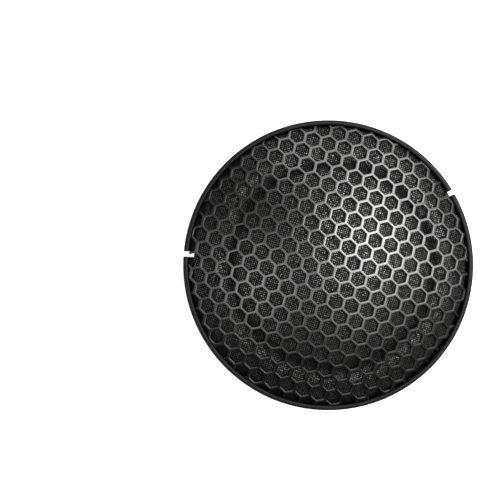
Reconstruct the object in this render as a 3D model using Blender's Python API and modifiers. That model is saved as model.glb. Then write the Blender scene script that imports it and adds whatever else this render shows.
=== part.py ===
"""Domed honeycomb speaker grille, 165 mm across, as separate parts.

Metres, +Z up.  The grille lies on its rear face: the origin is the centre of that face and +Z
is the axis of the dome, which points up.  Seen from the front with +Y up, +X is to the right.

The insert is a carrier ring with a cloth bonded to it and a drawn hexagonal mesh over the cloth.
It drops into the trim ring from the front and twelve screws from behind draw it down.
"""

import math

import bmesh
import bpy
from mathutils import Matrix, Vector

MM = 0.001
GAP = 0.2 * MM

# Trim ring: a bead outside, almost flat on top, and a floor flange behind the insert.
OUTER_R = 82.5 * MM
BEAD_INNER_R = 79.75 * MM
FLANGE_INNER_R = 72.0 * MM
FLANGE_REAR_Z = 1.8 * MM
FLANGE_THICKNESS = 1.5 * MM
BEAD_TOP_Z = 9.1 * MM
BEAD_SHOULDER = 1.0 * MM
BEAD_ROUNDNESS = 0.65
BEAD_ARC_STEPS = 3

# Front surface of the mesh: part of a sphere, which rises this much from its edge to its middle.
MESH_EDGE_R = 79.45 * MM
MESH_EDGE_Z = 8.3 * MM
DOME_RISE = 15.0 * MM
DOME_RADIUS = (MESH_EDGE_R**2 + DOME_RISE**2) / (2.0 * DOME_RISE)
DOME_CENTRE_Z = MESH_EDGE_Z + DOME_RISE - DOME_RADIUS

# Hexagonal holes: the steps from one hole to the next along two rows, and the widths of the
# webs on the three pairs of opposite sides.
SHEET_THICKNESS = 1.4 * MM
HOLE_STEP_A = Vector((8.775, -2.493)) * MM
HOLE_STEP_B = Vector((2.622, -8.694)) * MM
FIRST_HOLE = Vector((-2.94, -2.15)) * MM
WEBS = (1.42 * MM, 0.96 * MM, 1.24 * MM)

# Depths below the mesh's front surface, square to it.  The cloth lies against the mesh, but
# for a shallow trough all round, where it hangs away from it.
CLOTH_DEPTH = SHEET_THICKNESS + 0.5 * MM
CLOTH_THICKNESS = 0.5 * MM
TROUGH_R = 59.0 * MM
TROUGH_HALF_WIDTH = 6.0 * MM
TROUGH_DEPTH = 3.2 * MM
ADHESIVE_DEPTH = CLOTH_DEPTH + CLOTH_THICKNESS + 0.25 * MM
ADHESIVE_THICKNESS = 0.25 * MM
CARRIER_DEPTH = ADHESIVE_DEPTH + ADHESIVE_THICKNESS + 0.25 * MM

CLOTH_R = 77.7 * MM
CLOTH_CENTRE = Vector((1.2, 1.2)) * MM
ADHESIVE_R = (73.0 * MM, 75.5 * MM)
CARRIER_R = (72.3 * MM, 79.45 * MM)
CARRIER_REAR_Z = FLANGE_REAR_Z + FLANGE_THICKNESS + GAP
GASKET_R = (72.0 * MM, 75.0 * MM)
GASKET_THICKNESS = FLANGE_REAR_Z - GAP

# Two notches cut in from the rim, which key the grille to its seat.
NOTCH_ANGLES = (math.radians(30.4), math.radians(175.5))
NOTCH_WIDTH = 3.1 * MM
NOTCH_INNER_R = 75.7 * MM

# Twelve 2 mm thread-forming screws, from behind.
SCREW_COUNT = 12
SCREW_FIRST_ANGLE = math.radians(15.0)
SCREW_CIRCLE_R = 77.0 * MM
SCREW_R = 1.0 * MM
SCREW_HEAD_R = 1.7 * MM
SCREW_HEAD_HEIGHT = 1.1 * MM
SCREW_TIP_Z = 5.2 * MM
SCREW_HOLE_R = SCREW_R + GAP
SCREW_HOLE_TOP_Z = SCREW_TIP_Z + GAP

CUTTER_TOP_Z = 40.0 * MM
RING_STEPS = 72
CLOTH_STEPS = 40
SCREW_STEPS = 10
MERGE = 0.00001


def remove_all_objects():
    for thing in list(bpy.data.objects):
        bpy.data.objects.remove(thing, do_unlink=True)


def make_collection(name):
    collection = bpy.data.collections.new(name)
    bpy.context.scene.collection.children.link(collection)
    return collection


def make_material(name, colour, roughness, metallic=0.0):
    material = bpy.data.materials.new(name)
    material.use_nodes = True
    shader = material.node_tree.nodes["Principled BSDF"]
    shader.inputs["Base Color"].default_value = (*colour, 1.0)
    shader.inputs["Roughness"].default_value = roughness
    shader.inputs["Metallic"].default_value = metallic
    return material


def add_object(name, mesh, collection, material=None):
    thing = bpy.data.objects.new(name, mesh)
    collection.objects.link(thing)
    if material is not None:
        mesh.materials.append(material)
    return thing


def shade_round(thing, degrees=35.0):
    thing.data.shade_smooth()
    thing.data.set_sharp_from_angle(angle=math.radians(degrees))


# ---- the dome ----

def dome_height(r, depth=0.0):
    """Height, at radius r, of the surface that lies depth below the mesh's front surface."""
    return DOME_CENTRE_Z + math.sqrt((DOME_RADIUS - depth)**2 - r**2)


def cloth_height(r, depth):
    """As dome_height, but sinking into the cloth's trough."""
    across = (r - TROUGH_R) / TROUGH_HALF_WIDTH
    sink = TROUGH_DEPTH * math.cos(0.5 * math.pi * across)**2 if abs(across) < 1.0 else 0.0
    return dome_height(r, depth + sink)


def spread(low, high, count):
    return [low + (high - low) * k / (count - 1) for k in range(count)]


# ---- makers of shapes ----

def turned(name, profile, steps, collection, material, closed=True):
    """A turned solid: profile is (radius, height) points that run down its outer side."""
    mesh = bpy.data.meshes.new(name)
    edges = [(k, k + 1) for k in range(len(profile) - 1)]
    if closed:
        edges.append((len(profile) - 1, 0))
    mesh.from_pydata([(r, 0.0, z) for r, z in profile], edges, [])
    thing = add_object(name, mesh, collection, material)
    screw = thing.modifiers.new("Turn", "SCREW")
    screw.steps = steps
    screw.render_steps = steps
    screw.use_merge_vertices = True
    screw.merge_threshold = MERGE
    screw.use_smooth_shade = False
    return thing


def cut(thing, cutter, operation="DIFFERENCE"):
    boolean = thing.modifiers.new(cutter.name, "BOOLEAN")
    boolean.object = cutter
    boolean.operation = operation
    boolean.solver = "EXACT"


def hide_cutter(cutter):
    cutter.hide_render = True
    cutter.display_type = "WIRE"
    return cutter


def cylinder_cutter(name, radius, low_z, high_z, centres, sides, cutters):
    """One cutter made of a cylinder at each of the centres."""
    shape = bmesh.new()
    for centre in centres:
        place = Matrix.Translation((centre.x, centre.y, 0.5 * (low_z + high_z)))
        bmesh.ops.create_cone(
            shape, cap_ends=True, segments=sides, radius1=radius, radius2=radius,
            depth=high_z - low_z, matrix=place,
        )
    mesh = bpy.data.meshes.new(name)
    shape.to_mesh(mesh)
    shape.free()
    return hide_cutter(add_object(name, mesh, cutters))


def notch_cutter(cutters):
    """Two boxes, each from the notch's inner end to past the rim."""
    shape = bmesh.new()
    length = OUTER_R - NOTCH_INNER_R + 2.0 * MM
    height = BEAD_TOP_Z + 4.0 * MM
    for angle in NOTCH_ANGLES:
        size = Matrix.Diagonal((length, NOTCH_WIDTH, height, 1.0))
        place = Matrix.Translation((NOTCH_INNER_R + 0.5 * length, 0.0, 0.5 * height - MM))
        bmesh.ops.create_cube(shape, size=1.0, matrix=Matrix.Rotation(angle, 4, "Z") @ place @ size)
    mesh = bpy.data.meshes.new("notches")
    shape.to_mesh(mesh)
    shape.free()
    return hide_cutter(add_object("notches", mesh, cutters))


# ---- parts ----

def bead_arc():
    """The bead's top, from its outer side over to its inner side: tight corners, low crown."""
    middle = 0.5 * (OUTER_R + BEAD_INNER_R)
    half = 0.5 * (OUTER_R - BEAD_INNER_R)
    arc = []
    for angle in spread(0.0, math.pi, 2 * BEAD_ARC_STEPS + 1):
        side = math.copysign(abs(math.cos(angle))**BEAD_ROUNDNESS, math.cos(angle))
        rise = abs(math.sin(angle))**BEAD_ROUNDNESS
        arc.append((middle + half * side, BEAD_TOP_Z - BEAD_SHOULDER * (1.0 - rise)))
    return arc


def make_trim_ring(collection, material, notches, screw_holes):
    flange_top = FLANGE_REAR_Z + FLANGE_THICKNESS
    over = bead_arc()
    chamfer = 0.4 * MM
    profile = list(reversed(over[: BEAD_ARC_STEPS + 1]))
    profile += [
        (OUTER_R, FLANGE_REAR_Z + chamfer),
        (OUTER_R - chamfer, FLANGE_REAR_Z),
        (FLANGE_INNER_R, FLANGE_REAR_Z),
        (FLANGE_INNER_R, flange_top),
        (BEAD_INNER_R, flange_top),
    ]
    profile += list(reversed(over[BEAD_ARC_STEPS + 1:]))
    ring = turned("trim_ring", profile, RING_STEPS, collection, material)
    cut(ring, screw_holes)
    cut(ring, notches)
    shade_round(ring)


def make_carrier_ring(collection, material, notches, pilot_holes):
    inner, outer = CARRIER_R
    top = [(r, dome_height(r, CARRIER_DEPTH)) for r in spread(inner, outer, 5)]
    profile = [top[-1], (outer, CARRIER_REAR_Z), (inner, CARRIER_REAR_Z)] + top[:-1]
    ring = turned("carrier_ring", profile, RING_STEPS, collection, material)
    cut(ring, pilot_holes)
    cut(ring, notches)
    shade_round(ring)


def make_adhesive_ring(collection, material):
    inner, outer = ADHESIVE_R
    rear_depth = ADHESIVE_DEPTH + ADHESIVE_THICKNESS
    profile = [
        (outer, dome_height(outer, ADHESIVE_DEPTH)),
        (outer, dome_height(outer, rear_depth)),
        (inner, dome_height(inner, rear_depth)),
        (inner, dome_height(inner, ADHESIVE_DEPTH)),
    ]
    shade_round(turned("adhesive_ring", profile, RING_STEPS, collection, material))


def make_cloth(collection, material, cutters):
    """A thin skin under the mesh, cut round a centre a little off the axis."""
    trough_start, trough_end = TROUGH_R - TROUGH_HALF_WIDTH, TROUGH_R + TROUGH_HALF_WIDTH
    rim = CLOTH_R + CLOTH_CENTRE.length + GAP
    radii = spread(0.0, trough_start, 6) + spread(trough_start, trough_end, 7)[1:]
    radii += spread(trough_end, rim, 4)[1:]
    front = [(r, cloth_height(r, CLOTH_DEPTH)) for r in radii]
    rear = [(r, cloth_height(r, CLOTH_DEPTH + CLOTH_THICKNESS)) for r in reversed(radii)]
    cloth = turned("acoustic_cloth", front + rear, CLOTH_STEPS, collection, material, closed=False)
    outline = cylinder_cutter("cloth_outline", CLOTH_R, 0.0, CUTTER_TOP_Z, [CLOTH_CENTRE],
                              RING_STEPS, cutters)
    cut(cloth, outline, "INTERSECT")
    shade_round(cloth)


def make_gasket(collection, material):
    inner, outer = GASKET_R
    profile = [(outer, GASKET_THICKNESS), (outer, 0.0), (inner, 0.0), (inner, GASKET_THICKNESS)]
    shade_round(turned("foam_gasket", profile, RING_STEPS, collection, material))


def make_screws(collection, material, centres):
    """Pan-head screws with their heads down, all sharing one mesh."""
    head_top = FLANGE_REAR_Z - GAP
    head_low = head_top - SCREW_HEAD_HEIGHT
    profile = [
        (0.0, SCREW_TIP_Z),
        (SCREW_R, SCREW_TIP_Z - 0.7 * MM),
        (SCREW_R, head_top),
        (SCREW_HEAD_R, head_top),
        (SCREW_HEAD_R, head_low + 0.4 * MM),
        (SCREW_HEAD_R - 0.6 * MM, head_low),
        (0.0, head_low),
    ]
    first = turned("screw_01", profile, SCREW_STEPS, collection, material, closed=False)
    shade_round(first)
    first.location = (centres[0].x, centres[0].y, 0.0)
    for number, centre in enumerate(centres[1:], start=2):
        copy = first.copy()
        copy.name = f"screw_{number:02d}"
        copy.location = (centre.x, centre.y, 0.0)
        collection.objects.link(copy)


# ---- hexagonal mesh ----

# The six neighbours of a hole, counter-clockwise, as (steps of A, steps of B).
NEIGHBOURS = ((1, 0), (1, -1), (0, -1), (-1, 0), (-1, 1), (0, 1))


def sheet_point(a, b):
    """Where the point a steps along A and b steps along B lies, seen from the front."""
    return FIRST_HOLE + HOLE_STEP_A * a + HOLE_STEP_B * b


def cell_corners(a, b):
    """The corners of a hole's hexagon at the middle of the webs, counter-clockwise."""
    corners = []
    for side in range(6):
        here, after = NEIGHBOURS[side], NEIGHBOURS[(side + 1) % 6]
        corners.append(sheet_point(a + (here[0] + after[0]) / 3.0, b + (here[1] + after[1]) / 3.0))
    return corners


def hole_corners(a, b):
    """The corners of the hole itself: each side moved in by half its web."""
    corners = cell_corners(a, b)
    sides = []
    for side in range(6):
        start, end = corners[side - 1], corners[side]
        along = (end - start).normalized()
        inward = 0.5 * WEBS[side % 3] * Vector((-along.y, along.x))
        sides.append((start + inward, along))
    hole = []
    for side in range(6):
        (p, u), (q, v) = sides[side], sides[(side + 1) % 6]
        reach = (q - p).cross(v) / u.cross(v)
        hole.append(p + reach * u)
    return hole


def web_sheet():
    """The webs as an open sheet on the front surface: strips between holes, and junctions."""
    shape = bmesh.new()
    reach = MESH_EDGE_R + HOLE_STEP_A.length
    rows = range(-12, 13)
    holes = {}
    for a in rows:
        for b in rows:
            if sheet_point(a, b).length < reach:
                points = [(p.x, p.y, dome_height(p.length)) for p in hole_corners(a, b)]
                holes[a, b] = [shape.verts.new(point) for point in points]
    for (a, b), hole in holes.items():
        for side in range(3):
            across = holes.get((a + NEIGHBOURS[side][0], b + NEIGHBOURS[side][1]))
            after = NEIGHBOURS[(side + 1) % 6]
            beside = holes.get((a + after[0], b + after[1]))
            if across:
                shape.faces.new((hole[side - 1], across[side + 3], across[side + 2], hole[side]))
            if across and beside and side < 2:
                shape.faces.new((hole[side], across[side + 2], beside[(side + 4) % 6]))
    loose = [vert for vert in shape.verts if not vert.link_faces]
    bmesh.ops.delete(shape, geom=loose, context="VERTS")
    mesh = bpy.data.meshes.new("hex_mesh")
    shape.to_mesh(mesh)
    shape.free()
    return mesh


def keep_largest_piece(mesh):
    """Removes the scraps of web that the round cut leaves joined to nothing."""
    shape = bmesh.new()
    shape.from_mesh(mesh)
    unseen = set(shape.verts)
    pieces = []
    while unseen:
        start = unseen.pop()
        piece, edge_of_piece = {start}, [start]
        while edge_of_piece:
            vert = edge_of_piece.pop()
            for edge in vert.link_edges:
                other = edge.other_vert(vert)
                if other in unseen:
                    unseen.remove(other)
                    piece.add(other)
                    edge_of_piece.append(other)
        pieces.append(piece)
    pieces.sort(key=len)
    scraps = [vert for piece in pieces[:-1] for vert in piece]
    bmesh.ops.delete(shape, geom=scraps, context="VERTS")
    shape.to_mesh(mesh)
    shape.free()


def make_hex_mesh(collection, material, cutters):
    sheet = add_object("hex_mesh_sheet", web_sheet(), cutters)
    solidify = sheet.modifiers.new("Sheet", "SOLIDIFY")
    solidify.thickness = SHEET_THICKNESS
    solidify.offset = -1.0
    solidify.use_even_offset = False
    outline = cylinder_cutter("mesh_outline", MESH_EDGE_R, 0.0, CUTTER_TOP_Z, [Vector((0.0, 0.0))],
                              2 * RING_STEPS, cutters)
    cut(sheet, outline, "INTERSECT")
    hide_cutter(sheet)
    bpy.context.view_layer.update()
    evaluated = sheet.evaluated_get(bpy.context.evaluated_depsgraph_get())
    mesh = bpy.data.meshes.new_from_object(evaluated)
    mesh.name = "hex_mesh"
    keep_largest_piece(mesh)
    bpy.data.objects.remove(sheet, do_unlink=True)
    mesh.materials.clear()
    add_object("hex_mesh", mesh, collection, material)


def main():
    remove_all_objects()
    parts = make_collection("honeycomb_speaker_grille")
    cutters = make_collection("cutters")

    satin_plastic = make_material("satin_plastic", (0.030, 0.030, 0.031), 0.45)
    powder_coat = make_material("powder_coated_steel", (0.020, 0.020, 0.020), 0.35)
    black_cloth = make_material("black_cloth", (0.012, 0.012, 0.011), 0.95)
    black_foam = make_material("black_foam", (0.020, 0.020, 0.020), 0.9)
    tape = make_material("adhesive_film", (0.25, 0.24, 0.21), 0.6)
    dark_zinc = make_material("dark_zinc_steel", (0.10, 0.10, 0.10), 0.35, 1.0)

    angles = [SCREW_FIRST_ANGLE + k * math.tau / SCREW_COUNT for k in range(SCREW_COUNT)]
    centres = [Vector((math.cos(a), math.sin(a))) * SCREW_CIRCLE_R for a in angles]
    notches = notch_cutter(cutters)
    clearance = cylinder_cutter("screw_clearance", SCREW_HOLE_R, 0.0, CARRIER_REAR_Z, centres,
                                SCREW_STEPS, cutters)
    pilots = cylinder_cutter("screw_pilots", SCREW_HOLE_R, 0.0, SCREW_HOLE_TOP_Z, centres,
                             SCREW_STEPS, cutters)

    make_trim_ring(parts, satin_plastic, notches, clearance)
    make_carrier_ring(parts, satin_plastic, notches, pilots)
    make_adhesive_ring(parts, tape)
    make_cloth(parts, black_cloth, cutters)
    make_gasket(parts, black_foam)
    make_screws(parts, dark_zinc, centres)
    make_hex_mesh(parts, powder_coat, cutters)


main()
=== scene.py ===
"""Looks for the honeycomb speaker grille: every CAD part gets a finer piece or a finer material.

Metres, +Z up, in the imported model's own frame: the grille lies on its rear face, dome upwards.
"""

import math

import bmesh
import bpy
from mathutils import Matrix, Vector, noise


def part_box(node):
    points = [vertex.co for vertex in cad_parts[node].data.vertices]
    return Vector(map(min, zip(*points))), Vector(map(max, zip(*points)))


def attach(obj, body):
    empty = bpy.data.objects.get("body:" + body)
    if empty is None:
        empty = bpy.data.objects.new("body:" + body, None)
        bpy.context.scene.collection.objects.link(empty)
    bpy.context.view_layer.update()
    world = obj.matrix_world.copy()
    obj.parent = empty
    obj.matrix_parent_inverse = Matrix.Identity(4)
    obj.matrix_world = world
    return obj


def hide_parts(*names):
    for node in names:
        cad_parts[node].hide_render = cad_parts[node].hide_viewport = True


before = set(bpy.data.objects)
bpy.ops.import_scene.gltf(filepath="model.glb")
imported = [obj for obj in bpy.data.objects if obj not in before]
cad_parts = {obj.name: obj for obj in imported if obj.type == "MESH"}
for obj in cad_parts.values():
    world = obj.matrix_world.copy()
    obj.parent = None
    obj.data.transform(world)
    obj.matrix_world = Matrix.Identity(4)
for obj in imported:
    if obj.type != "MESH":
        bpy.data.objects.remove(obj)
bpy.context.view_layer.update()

MM = 0.001

# ---- sizes, from the frame ----

trim_low, trim_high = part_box("trim_ring")
mesh_low, mesh_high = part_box("hex_mesh")
carrier_low, carrier_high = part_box("carrier_ring")
cloth_low, cloth_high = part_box("acoustic_cloth")
gasket_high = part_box("foam_gasket")[1]

OUTER_R = trim_high.x
BEAD_TOP_Z = trim_high.z
FLANGE_REAR_Z = trim_low.z
MESH_EDGE_R = 0.5 * (mesh_high.x - mesh_low.x)
CLOTH_R = 0.5 * (cloth_high.x - cloth_low.x)
CLOTH_CENTRE = 0.5 * (cloth_high + cloth_low).to_2d()
CARRIER_OUTER_R = carrier_high.x
CARRIER_REAR_Z = carrier_low.z
GASKET_OUTER_R = gasket_high.x
GASKET_TOP_Z = gasket_high.z

# ---- the design's other dimensions, as the CAD parts have them ----

BEAD_INNER_R = 79.75 * MM
BEAD_SHOULDER = 1.0 * MM
BEAD_ROUNDNESS = 0.65
FLANGE_INNER_R = 72.0 * MM
FLANGE_THICKNESS = 1.5 * MM
FLANGE_CHAMFER = 0.4 * MM
CARRIER_INNER_R = 72.3 * MM

MESH_EDGE_Z = 8.3 * MM
DOME_RISE = 15.0 * MM
DOME_RADIUS = (MESH_EDGE_R**2 + DOME_RISE**2) / (2.0 * DOME_RISE)
DOME_CENTRE_Z = MESH_EDGE_Z + DOME_RISE - DOME_RADIUS

SHEET_THICKNESS = 1.4 * MM
HOLE_STEP_A = Vector((8.775, -2.493)) * MM
HOLE_STEP_B = Vector((2.622, -8.694)) * MM
FIRST_HOLE = Vector((-2.94, -2.15)) * MM
WEBS = (1.42 * MM, 0.96 * MM, 1.24 * MM)

CLOTH_DEPTH = SHEET_THICKNESS + 0.5 * MM
CLOTH_THICKNESS = 0.5 * MM
TROUGH_R = 59.0 * MM
TROUGH_HALF_WIDTH = 6.0 * MM
TROUGH_DEPTH = 3.2 * MM
CARRIER_DEPTH = CLOTH_DEPTH + CLOTH_THICKNESS + 0.75 * MM

NOTCH_ANGLES = (math.radians(30.4), math.radians(175.5))
NOTCH_WIDTH = 3.1 * MM
NOTCH_INNER_R = 75.7 * MM

SCREW_HOLE_R = 1.2 * MM
SCREW_TIP_GAP = 0.2 * MM

# ---- detail that the CAD parts leave out ----

HOLE_CORNER_R = 0.50 * MM
HOLE_CORNER_STEPS = 2
WEB_EDGE_R = 0.16 * MM
MOULDED_EDGE_R = 0.12 * MM
GASKET_ROUNDNESS = 0.35

# The cloth's trough is shallower here than in CAD. It sits a little to the right, its outer side
# is the gentler one, and its middle and depth wander on the way round.
TROUGH_SHIFT = 1.8 * MM
TROUGH_OUTER_SPREAD = 1.5
TROUGH_MEAN_DEPTH = 0.6 * TROUGH_DEPTH
TROUGH_DEPTH_CHANGE = 0.3 * TROUGH_DEPTH
WANDER = 1.2 * MM
WANDER_FREQUENCY = 2.5
WANDER_SEED = 7.0
RIPPLE_LENGTH = 9.0 * MM
RIPPLE_HEIGHT = 0.05 * MM
RIPPLE_SEED = 3.0
CLOTH_SKIN = 0.6 * CLOTH_THICKNESS

# A face of the mesh is a hole's wall where it is over 60 degrees steeper than the dome there.
WALL_LIMIT = math.cos(math.radians(60.0))

# ---- how finely the shapes are drawn and shaded ----

RING_STEPS = 288
BEAD_STEPS = 25
SCREW_HOLE_SIDES = 24
CARRIER_TOP_STEPS = 9
GASKET_STEPS = 24
CLOTH_RINGS = 90
CLOTH_STEPS = 300
EDGE_STEPS = 3
HOLE_REACH = 12
RING_SHARP_DEGREES = 35.0
WEB_SHARP_DEGREES = 50.0
SOFT_SHARP_DEGREES = 60.0
CUTTER_TOP_Z = 40.0 * MM
INSET = 0.02 * MM
MERGE = 0.001 * MM

# ---- weave, stage, lights and camera ----

WEAVE_PITCH_MM = 0.80
WEAVE_TURN = math.radians(-28.0)
FLOOR_HALF = 3.0
LIGHT_DISTANCE = 1.2
LIGHT_WIDTH = 0.60
CAMERA_DISTANCE = 0.400
CAMERA_WIDTH = 0.2731
CAMERA_PLACE = Vector((-0.05015, 0.01435))
SENSOR_WIDTH = 36.0


def dome_height(r, depth=0.0):
    """Height, at radius r, of the surface that lies depth below the mesh's front surface."""
    return DOME_CENTRE_Z + math.sqrt((DOME_RADIUS - depth)**2 - r**2)


def spread(low, high, count):
    """Evenly spaced values from low to high, both included."""
    return [low + (high - low) * k / (count - 1) for k in range(count)]


# ---- makers of pieces ----

def add_piece(name, mesh, material, replaced):
    """A piece that rides on the part's one body and stands for the CAD node it replaces."""
    piece = bpy.data.objects.new(name, mesh)
    bpy.context.scene.collection.objects.link(piece)
    mesh.materials.clear()
    mesh.materials.append(material)
    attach(piece, "root")
    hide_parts(replaced)
    return piece


def mesh_from(shape, name):
    """A mesh with the bmesh's faces; the bmesh is freed."""
    mesh = bpy.data.meshes.new(name)
    shape.normal_update()
    shape.to_mesh(mesh)
    shape.free()
    return mesh


def shade_round(mesh, degrees):
    """Smooth shading, but for the edges that turn by more than the degrees given."""
    mesh.shade_smooth()
    mesh.set_sharp_from_angle(angle=math.radians(degrees))


def turned(profile, steps, closed=True):
    """A turned bmesh: the profile's (radius, height) points run outward or down its outside."""
    shape = bmesh.new()
    rings = []
    for r, z in profile:
        if r < MERGE:
            rings.append([shape.verts.new((0.0, 0.0, z))] * steps)
            continue
        turns = [math.tau * k / steps for k in range(steps)]
        rings.append([shape.verts.new((r * math.cos(a), r * math.sin(a), z)) for a in turns])
    pairs = list(zip(rings, rings[1:]))
    if closed:
        pairs.append((rings[-1], rings[0]))
    for upper, lower in pairs:
        for k in range(steps):
            after = (k + 1) % steps
            corners = [upper[k], lower[k], lower[after], upper[after]]
            shape.faces.new(list(dict.fromkeys(corners)))
    return shape


def boxes(angles, inner_r, outer_r, width, low_z, high_z):
    """A bmesh of boxes that run outward from inner_r, one at each angle."""
    shape = bmesh.new()
    length = outer_r - inner_r
    size = Matrix.Diagonal((length, width, high_z - low_z, 1.0))
    place = Matrix.Translation((inner_r + 0.5 * length, 0.0, 0.5 * (low_z + high_z)))
    for angle in angles:
        turn = Matrix.Rotation(angle, 4, "Z")
        bmesh.ops.create_cube(shape, size=1.0, matrix=turn @ place @ size)
    return shape


def cylinders(centres, radius, low_z, high_z, sides):
    """A bmesh of upright cylinders, one at each centre."""
    shape = bmesh.new()
    for centre in centres:
        bmesh.ops.create_cone(
            shape, cap_ends=True, segments=sides, radius1=radius, radius2=radius,
            depth=high_z - low_z,
            matrix=Matrix.Translation((centre[0], centre[1], 0.5 * (low_z + high_z))),
        )
    return shape


def worked(mesh, cuts=(), bevel=0.0, thickness=0.0):
    """The mesh thickened inward, then cut with each bmesh, then rid of scraps and softened."""
    holder = bpy.data.objects.new("holder", mesh)
    bpy.context.scene.collection.objects.link(holder)
    tools = []
    if thickness:
        solidify = holder.modifiers.new("Sheet", "SOLIDIFY")
        solidify.thickness = thickness
        solidify.offset = -1.0
    for shape, operation in cuts:
        tool = bpy.data.objects.new("tool", mesh_from(shape, "tool"))
        bpy.context.scene.collection.objects.link(tool)
        tools.append(tool)
        boolean = holder.modifiers.new("Cut", "BOOLEAN")
        boolean.object = tool
        boolean.operation = operation
        boolean.solver = "EXACT"
    result = applied(holder)
    if bevel:
        keep_largest_piece(result)
        holder.modifiers.clear()
        holder.data = result
        soften = holder.modifiers.new("Edges", "BEVEL")
        soften.width = bevel
        soften.segments = EDGE_STEPS
        soften.limit_method = "ANGLE"
        soften.angle_limit = math.radians(WEB_SHARP_DEGREES)
        result = applied(holder)
    for thing in [holder] + tools:
        bpy.data.objects.remove(thing, do_unlink=True)
    return result


def applied(holder):
    """The holder's mesh with its modifiers applied."""
    bpy.context.view_layer.update()
    evaluated = holder.evaluated_get(bpy.context.evaluated_depsgraph_get())
    return bpy.data.meshes.new_from_object(evaluated)


def keep_largest_piece(mesh):
    """Removes the scraps that a cut leaves joined to nothing."""
    shape = bmesh.new()
    shape.from_mesh(mesh)
    bmesh.ops.dissolve_degenerate(shape, dist=MERGE, edges=shape.edges)
    unseen = set(shape.verts)
    pieces = []
    while unseen:
        start = unseen.pop()
        piece, front = {start}, [start]
        while front:
            for edge in front.pop().link_edges:
                for vert in edge.verts:
                    if vert in unseen:
                        unseen.remove(vert)
                        piece.add(vert)
                        front.append(vert)
        pieces.append(piece)
    pieces.sort(key=len)
    scraps = [vert for piece in pieces[:-1] for vert in piece]
    bmesh.ops.delete(shape, geom=scraps, context="VERTS")
    shape.to_mesh(mesh)
    shape.free()


# ---- node materials ----

class Nodes:
    """A short way to write a material's nodes: a call adds one and links what it is given."""

    def __init__(self, name):
        self.material = bpy.data.materials.new(name)
        self.material.use_nodes = True
        self.tree = self.material.node_tree
        self.shader = self.tree.nodes["Principled BSDF"]

    def add(self, kind, inputs=None, output=0, **settings):
        node = self.tree.nodes.new(kind)
        for key, value in settings.items():
            setattr(node, key, value)
        for key, value in (inputs or {}).items():
            self.give(node.inputs[key], value)
        return node.outputs[output]

    def give(self, socket, value):
        """Links the value where it is another node's output, or else sets it."""
        if isinstance(value, bpy.types.NodeSocket):
            self.tree.links.new(value, socket)
        else:
            socket.default_value = value

    def math(self, operation, *values):
        return self.add("ShaderNodeMath", dict(enumerate(values)), operation=operation)

    def place(self, turn=0.0):
        """Object coordinates in millimetres, turned about the axis."""
        here = self.add("ShaderNodeTexCoord", output="Object")
        return self.add("ShaderNodeMapping", {
            "Vector": here, "Rotation": (0.0, 0.0, turn), "Scale": (1.0 / MM,) * 3})

    def noise(self, place, scale, detail=2.0, rough=0.5):
        return self.add("ShaderNodeTexNoise", {
            "Vector": place, "Scale": scale, "Detail": detail, "Roughness": rough})

    def between(self, factor, low, high, start=0.0, end=1.0):
        """The factor from start to end, moved to the range low to high."""
        return self.add("ShaderNodeMapRange", {
            "Value": factor, "From Min": start, "From Max": end, "To Min": low, "To Max": high})

    def colour(self, factor, low, high):
        """A blend of two colours, low where the factor is 0 and high where it is 1."""
        return self.add("ShaderNodeMix", {
            "Factor": factor, "A": (*low, 1.0), "B": (*high, 1.0)}, data_type="RGBA", output=2)

    def bump(self, height, distance, strength=1.0):
        return self.add("ShaderNodeBump", {
            "Height": height, "Distance": distance, "Strength": strength})

    def finish(self, **inputs):
        """Gives the shader its inputs, named with _ for each space, and returns the material."""
        for key, value in inputs.items():
            self.give(self.shader.inputs[key.replace("_", " ")], value)
        return self.material


def powder_coat_material():
    """Satin black powder coat, with a faint orange peel."""
    n = Nodes("powder_coat")
    place = n.place()
    peel = n.noise(place, 2.2, 3.0, 0.55)
    grain = n.noise(place, 9.0, 2.0, 0.6)
    height = n.math("ADD", peel, n.math("MULTIPLY", grain, 0.35))
    stain = n.noise(place, 0.6)
    return n.finish(
        Base_Color=n.colour(stain, (0.0006, 0.0006, 0.0006), (0.0014, 0.0014, 0.0014)),
        Roughness=n.between(peel, 0.25, 0.34, 0.3, 0.7),
        Normal=n.bump(height, 0.02 * MM, 0.5),
    )


def painted_lit_wall_material():
    """The walls of the holes, painted a far lighter grey than the coat on the tops so that they
    read as lit: painted light.
    """
    n = Nodes("painted_lit_wall")
    place = n.place()
    streaks = n.noise(place, 3.0, 3.0, 0.6)
    return n.finish(
        # painted light: the walls get a grey many times lighter than the tops, so that they read
        # as lit
        Base_Color=n.colour(streaks, (0.022, 0.022, 0.022), (0.052, 0.052, 0.051)),
        Roughness=n.between(streaks, 0.35, 0.55, 0.3, 0.7),
        Normal=n.bump(streaks, 0.03 * MM, 0.5),
    )


def satin_plastic_material():
    """Moulded black plastic with a fine satin grain."""
    n = Nodes("satin_plastic")
    place = n.place()
    grain = n.noise(place, 3.5, 3.0, 0.6)
    darker = (0.0013, 0.0013, 0.0014)
    lighter = tuple(1.35 * c for c in darker)
    return n.finish(
        Base_Color=n.colour(n.noise(place, 0.15, 3.0), darker, lighter),
        Roughness=n.between(grain, 0.36, 0.46, 0.3, 0.7),
        Specular_IOR_Level=0.05,
        Normal=n.bump(grain, 0.02 * MM, 0.7),
    )


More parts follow.
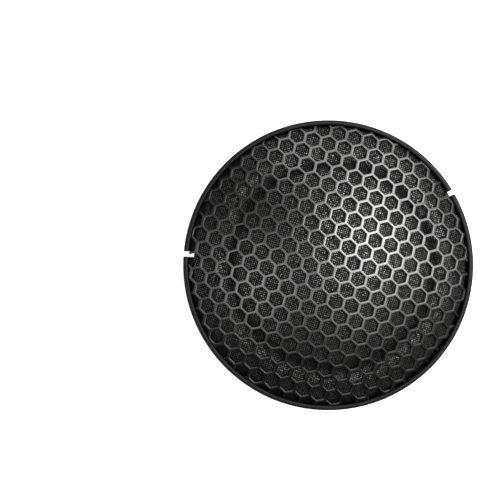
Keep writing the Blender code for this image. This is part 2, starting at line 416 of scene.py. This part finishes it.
def woven_cloth_material():
    """Plain weave of dark threads, whose tops glint in patches as metal would."""
    n = Nodes("woven_cloth")
    place = n.place(WEAVE_TURN)
    waver = n.add("ShaderNodeTexNoise", {"Vector": place, "Scale": 0.6, "Detail": 2.0}, output=1)
    shift = n.add("ShaderNodeVectorMath", {0: waver, "Scale": 0.7}, operation="SCALE")
    bent = n.add("ShaderNodeVectorMath", {0: place, 1: shift})
    along = n.add("ShaderNodeSeparateXYZ", {"Vector": bent}, output="X")
    across = along.node.outputs["Y"]
    warp = n.math("SINE", n.math("MULTIPLY", along, math.pi / WEAVE_PITCH_MM))
    weft = n.math("SINE", n.math("MULTIPLY", across, math.pi / WEAVE_PITCH_MM))
    weave = n.between(n.math("MULTIPLY", warp, weft), 0.0, 1.0, -1.0, 1.0)
    fibres = n.noise(place, 4.0, 3.0, 0.7)
    patchy = n.math("MULTIPLY", weave, n.noise(place, 1.3, 3.0, 0.8))
    glint = n.between(patchy, 0.0, 1.0, 0.39, 0.55)
    height = n.math("ADD", weave, n.math("MULTIPLY", fibres, 0.5))
    return n.finish(
        Base_Color=n.colour(glint, (0.0008, 0.0008, 0.0008), (0.110, 0.107, 0.096)),
        Metallic=glint,
        Roughness=n.between(glint, 0.60, 0.28),
        Specular_IOR_Level=0.03,
        Normal=n.bump(height, 0.06 * MM, 1.0),
    )


def foam_material():
    """Black foam with fine closed cells."""
    n = Nodes("foam")
    cells = n.add("ShaderNodeTexVoronoi", {"Vector": n.place(), "Scale": 1.6})
    return n.finish(
        Base_Color=n.colour(cells, (0.012, 0.012, 0.012), (0.035, 0.035, 0.034)),
        Roughness=0.95,
        Normal=n.bump(cells, 0.2 * MM, 0.8),
    )


def tape_material():
    """Pale double-sided tape with faint streaks."""
    n = Nodes("tape")
    place = n.place()
    streaks = n.noise(place, 0.8, 4.0, 0.6)
    return n.finish(
        Base_Color=n.colour(streaks, (0.20, 0.19, 0.17), (0.30, 0.29, 0.25)),
        Roughness=n.between(streaks, 0.5, 0.7),
        Normal=n.bump(streaks, 0.03 * MM, 0.5),
    )


def dark_zinc_material():
    """Dark zinc plate, unevenly stained."""
    n = Nodes("dark_zinc")
    place = n.place()
    stain = n.noise(place, 1.2, 4.0, 0.6)
    return n.finish(
        Base_Color=n.colour(stain, (0.05, 0.05, 0.05), (0.16, 0.155, 0.15)),
        Metallic=1.0,
        Roughness=n.between(stain, 0.25, 0.45, 0.3, 0.7),
        Normal=n.bump(n.noise(place, 8.0), 0.01 * MM, 0.4),
    )


# ---- hexagonal mesh ----

# The six neighbours of a hole, counter-clockwise, as (steps of A, steps of B).
NEIGHBOURS = ((1, 0), (1, -1), (0, -1), (-1, 0), (-1, 1), (0, 1))


def cell_corners(a, b):
    """The corners of a hole's hexagon at the middle of the webs, counter-clockwise."""
    corners = []
    for side in range(6):
        here, after = NEIGHBOURS[side], NEIGHBOURS[(side + 1) % 6]
        steps_a = a + (here[0] + after[0]) / 3.0
        steps_b = b + (here[1] + after[1]) / 3.0
        corners.append(FIRST_HOLE + HOLE_STEP_A * steps_a + HOLE_STEP_B * steps_b)
    return corners


def hole_corners(corners):
    """The corners of the hole itself: each side of its cell moved in by half its web."""
    sides = []
    for side in range(6):
        start, end = corners[side - 1], corners[side]
        along = (end - start).normalized()
        inward = 0.5 * WEBS[side % 3] * Vector((-along.y, along.x))
        sides.append((start + inward, along))
    hole = []
    for side in range(6):
        (p, u), (q, v) = sides[side], sides[(side + 1) % 6]
        hole.append(p + (q - p).cross(v) / u.cross(v) * u)
    return hole


def rounded_corner(before, corner, after):
    """Points of the small arc that replaces a hole's corner, in order."""
    u, v = (before - corner).normalized(), (after - corner).normalized()
    half = 0.5 * u.angle(v)
    middle = corner + (u + v).normalized() * HOLE_CORNER_R / math.sin(half)
    start = corner + u * HOLE_CORNER_R / math.tan(half) - middle
    end = corner + v * HOLE_CORNER_R / math.tan(half) - middle
    points = []
    for part in spread(0.0, 1.0, 2 * HOLE_CORNER_STEPS + 1):
        points.append(middle + start.lerp(end, part).normalized() * HOLE_CORNER_R)
    return points


def on_dome(point):
    """The point lifted onto the mesh's front surface."""
    return (point.x, point.y, dome_height(point.length))


def web_sheet():
    """The webs as an open sheet: each hole has a band of faces out to the middle of its webs."""
    shape = bmesh.new()
    reach = MESH_EDGE_R + HOLE_STEP_A.length
    steps = range(-HOLE_REACH, HOLE_REACH + 1)
    for a in steps:
        for b in steps:
            corners = cell_corners(a, b)
            if max(corner.length for corner in corners) > reach:
                continue
            hole = hole_corners(corners)
            arcs = [rounded_corner(hole[k - 1], hole[k], hole[(k + 1) % 6]) for k in range(6)]
            outer = [shape.verts.new(on_dome(corner)) for corner in corners]
            inner = [[shape.verts.new(on_dome(p)) for p in arc] for arc in arcs]
            for k in range(6):
                start, end = inner[k - 1][HOLE_CORNER_STEPS:], inner[k][:HOLE_CORNER_STEPS + 1]
                shape.faces.new([outer[k - 1], outer[k]] + list(reversed(start + end)))
    bmesh.ops.remove_doubles(shape, verts=shape.verts, dist=MERGE)
    return shape


def make_grille_mesh(material, painted_light_material):
    """The domed steel mesh, with a second, lighter material on the walls of its holes: painted
    light.
    """
    outline = cylinders([(0.0, 0.0)], MESH_EDGE_R - INSET, 0.0, CUTTER_TOP_Z, RING_STEPS)
    mesh = worked(mesh_from(web_sheet(), "webs"), cuts=[(outline, "INTERSECT")],
                  thickness=SHEET_THICKNESS, bevel=WEB_EDGE_R)
    mesh.name = "grille_mesh"
    shade_round(mesh, WEB_SHARP_DEGREES)
    add_piece("grille_mesh", mesh, material, "hex_mesh")
    # the hole walls take the lighter material: painted light
    mesh.materials.append(painted_light_material)
    dome_centre = Vector((0.0, 0.0, DOME_CENTRE_Z))
    for face in mesh.polygons:
        outward = (face.center - dome_centre).normalized()
        face.material_index = int(abs(face.normal.dot(outward)) < WALL_LIMIT)


# ---- cloth ----

def cloth_height(x, y):
    """The cloth's front, which lies close behind the mesh but for its trough."""
    r = math.hypot(x, y)
    turn = math.atan2(y, x)
    way_round = WANDER_FREQUENCY * Vector((math.cos(turn), math.sin(turn)))
    wander = noise.noise((*way_round, WANDER_SEED))
    ripple = noise.noise((x / RIPPLE_LENGTH, y / RIPPLE_LENGTH, RIPPLE_SEED))
    middle = TROUGH_R + TROUGH_SHIFT * math.cos(turn) + WANDER * wander
    half_width = TROUGH_HALF_WIDTH * (TROUGH_OUTER_SPREAD if r > middle else 1.0)
    across = (r - middle) / half_width
    sink = 0.0
    if abs(across) < 1.0:
        depth = TROUGH_MEAN_DEPTH + TROUGH_DEPTH_CHANGE * wander
        sink = depth * math.cos(0.5 * math.pi * across)**2
    return dome_height(r, CLOTH_DEPTH + sink + RIPPLE_HEIGHT * (1.0 + ripple))


def make_cloth(material):
    """The stretched cloth: a disc laid a little off centre, closed all round its thin edge."""
    radii = spread(0.0, CLOTH_R - INSET, CLOTH_RINGS + 1)
    shape = turned([(r, 0.0) for r in radii], CLOTH_STEPS, closed=False)
    for vert in shape.verts:
        vert.co.xy += CLOTH_CENTRE
        vert.co.z = cloth_height(vert.co.x, vert.co.y)
    mesh = worked(mesh_from(shape, "cloth"), thickness=CLOTH_SKIN)
    mesh.name = "woven_cloth"
    shade_round(mesh, SOFT_SHARP_DEGREES)
    cloth = add_piece("woven_cloth", mesh, material, "acoustic_cloth")


# ---- rings ----

def bead_arc():
    """The bead's top, from its inner side over to its outer side: tight corners, low crown."""
    middle = 0.5 * (OUTER_R + BEAD_INNER_R)
    half = 0.5 * (OUTER_R - BEAD_INNER_R)
    arc = []
    for angle in spread(math.pi, 0.0, BEAD_STEPS):
        side = math.copysign(abs(math.cos(angle))**BEAD_ROUNDNESS, math.cos(angle))
        rise = abs(math.sin(angle))**BEAD_ROUNDNESS
        arc.append((middle + half * side, BEAD_TOP_Z - BEAD_SHOULDER * (1.0 - rise)))
    return arc


def ring_mesh(name, profile, screw_centres, hole_top_z):
    """A moulded ring turned from its profile, with its screw holes and the two rim notches."""
    holes = cylinders(screw_centres, SCREW_HOLE_R, 0.0, hole_top_z, SCREW_HOLE_SIDES)
    notches = boxes(NOTCH_ANGLES, NOTCH_INNER_R, OUTER_R + MM, NOTCH_WIDTH, -MM, BEAD_TOP_Z + MM)
    mesh = worked(mesh_from(turned(profile, RING_STEPS), name),
                  cuts=[(holes, "DIFFERENCE"), (notches, "DIFFERENCE")], bevel=MOULDED_EDGE_R)
    shade_round(mesh, RING_SHARP_DEGREES)
    return mesh


def make_bezel(material, screw_centres):
    """The trim ring: a bead outside and a flat flange that reaches in behind the carrier."""
    flange_top = FLANGE_REAR_Z + FLANGE_THICKNESS
    profile = bead_arc() + [
        (OUTER_R, FLANGE_REAR_Z + FLANGE_CHAMFER),
        (OUTER_R - FLANGE_CHAMFER, FLANGE_REAR_Z),
        (FLANGE_INNER_R, FLANGE_REAR_Z),
        (FLANGE_INNER_R, flange_top),
        (BEAD_INNER_R, flange_top),
    ]
    mesh = ring_mesh("bezel", profile, screw_centres, CARRIER_REAR_Z)
    add_piece("bezel", mesh, material, "trim_ring")


def make_carrier(material, screw_centres, hole_top_z):
    """The carrier ring: flat behind, and on top it follows the dome under mesh and cloth."""
    inner, outer = CARRIER_INNER_R, CARRIER_OUTER_R
    radii = spread(inner, outer, CARRIER_TOP_STEPS)
    top = [(r, dome_height(r, CARRIER_DEPTH)) for r in radii]
    profile = [top[-1], (outer, CARRIER_REAR_Z), (inner, CARRIER_REAR_Z)] + top[:-1]
    mesh = ring_mesh("carrier", profile, screw_centres, hole_top_z)
    add_piece("carrier", mesh, material, "carrier_ring")


def make_gasket(material):
    """A foam strip with rounded edges, closed into a ring."""
    inner, outer = FLANGE_INNER_R, GASKET_OUTER_R
    middle, half = 0.5 * (inner + outer), 0.5 * (outer - inner)
    half_height = 0.5 * GASKET_TOP_Z
    profile = []
    for k in range(GASKET_STEPS):
        a = 0.5 * math.pi - math.tau * k / GASKET_STEPS
        c, s = math.cos(a), math.sin(a)
        profile.append((middle + half * math.copysign(abs(c)**GASKET_ROUNDNESS, c),
                        half_height * (1.0 + math.copysign(abs(s)**GASKET_ROUNDNESS, s))))
    mesh = mesh_from(turned(profile, RING_STEPS), "gasket")
    shade_round(mesh, SOFT_SHARP_DEGREES)
    gasket = add_piece("gasket", mesh, material, "foam_gasket")


# ---- stage, lights and camera ----

def make_floor():
    """A grey floor that glows enough to read as plain white paper."""
    shape = bmesh.new()
    bmesh.ops.create_grid(shape, x_segments=1, y_segments=1, size=FLOOR_HALF)
    mesh = mesh_from(shape, "floor")
    floor = bpy.data.objects.new("floor", mesh)
    bpy.context.scene.collection.objects.link(floor)
    n = Nodes("paper")
    mesh.materials.append(n.finish(
        Base_Color=(0.25, 0.25, 0.25, 1.0),
        Roughness=0.9,
        Emission_Color=(1.0, 1.0, 1.0, 1.0),
        Emission_Strength=0.9,
    ))


def make_softbox(name, azimuth, elevation, radiance):
    """A round area light aimed at the grille; its power follows from the radiance asked for."""
    data = bpy.data.lights.new(name, "AREA")
    data.shape = "DISK"
    data.size = LIGHT_WIDTH
    data.energy = radiance * math.pi * (math.pi * 0.25 * LIGHT_WIDTH**2)
    light = bpy.data.objects.new(name, data)
    bpy.context.scene.collection.objects.link(light)
    a, e = math.radians(azimuth), math.radians(elevation)
    way = Vector((math.cos(a) * math.cos(e), math.sin(a) * math.cos(e), math.sin(e)))
    light.location = way * LIGHT_DISTANCE
    light.rotation_euler = way.to_track_quat("Z", "Y").to_euler()


def make_camera():
    """Straight above, with the grille right of the middle as the photo frames it."""
    data = bpy.data.cameras.new("camera")
    data.sensor_width = SENSOR_WIDTH
    data.lens = SENSOR_WIDTH * CAMERA_DISTANCE / CAMERA_WIDTH
    camera = bpy.data.objects.new("camera", data)
    bpy.context.scene.collection.objects.link(camera)
    camera.location = (*CAMERA_PLACE, BEAD_TOP_Z - BEAD_SHOULDER + CAMERA_DISTANCE)
    bpy.context.scene.camera = camera


def make_world():
    """Pale behind the floor to the camera, and dark to the grille, which the softboxes light."""
    world = bpy.data.worlds.new("studio")
    world.use_nodes = True
    tree = world.node_tree
    background = tree.nodes["Background"]
    background.inputs["Color"].default_value = (0.9, 0.9, 0.9, 1.0)
    seen = tree.nodes.new("ShaderNodeLightPath")
    tree.links.new(seen.outputs["Is Camera Ray"], background.inputs["Strength"])
    bpy.context.scene.world = world


def main():
    satin = satin_plastic_material()
    powder = powder_coat_material()
    zinc = dark_zinc_material()

    screws = [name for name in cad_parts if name.startswith("screw_")]
    screw_boxes = [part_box(name) for name in sorted(screws)]
    centres = [0.5 * (low + high).to_2d() for low, high in screw_boxes]
    tip_z = screw_boxes[0][1].z

    make_grille_mesh(powder, painted_lit_wall_material())
    make_cloth(woven_cloth_material())
    make_bezel(satin, centres)
    make_carrier(satin, centres, tip_z + SCREW_TIP_GAP)
    make_gasket(foam_material())
    for name in screws:
        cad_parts[name].data.materials.clear()
        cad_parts[name].data.materials.append(zinc)
    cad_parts["adhesive_ring"].data.materials.clear()
    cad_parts["adhesive_ring"].data.materials.append(tape_material())

    make_floor()
    make_softbox("key", 25.0, 68.0, 28.5)
    make_softbox("key_low", 47.0, 48.0, 16.0)
    make_softbox("right", 2.0, 48.0, 13.0)
    make_softbox("right_fill", 325.0, 68.0, 7.5)
    make_softbox("left_fill", 205.0, 68.0, 8.0)
    make_softbox("top", 92.0, 46.0, 8.0)
    make_softbox("left", 180.0, 48.0, 2.0)
    make_world()
    make_camera()
    bpy.context.scene.view_settings.view_transform = "Standard"


main()
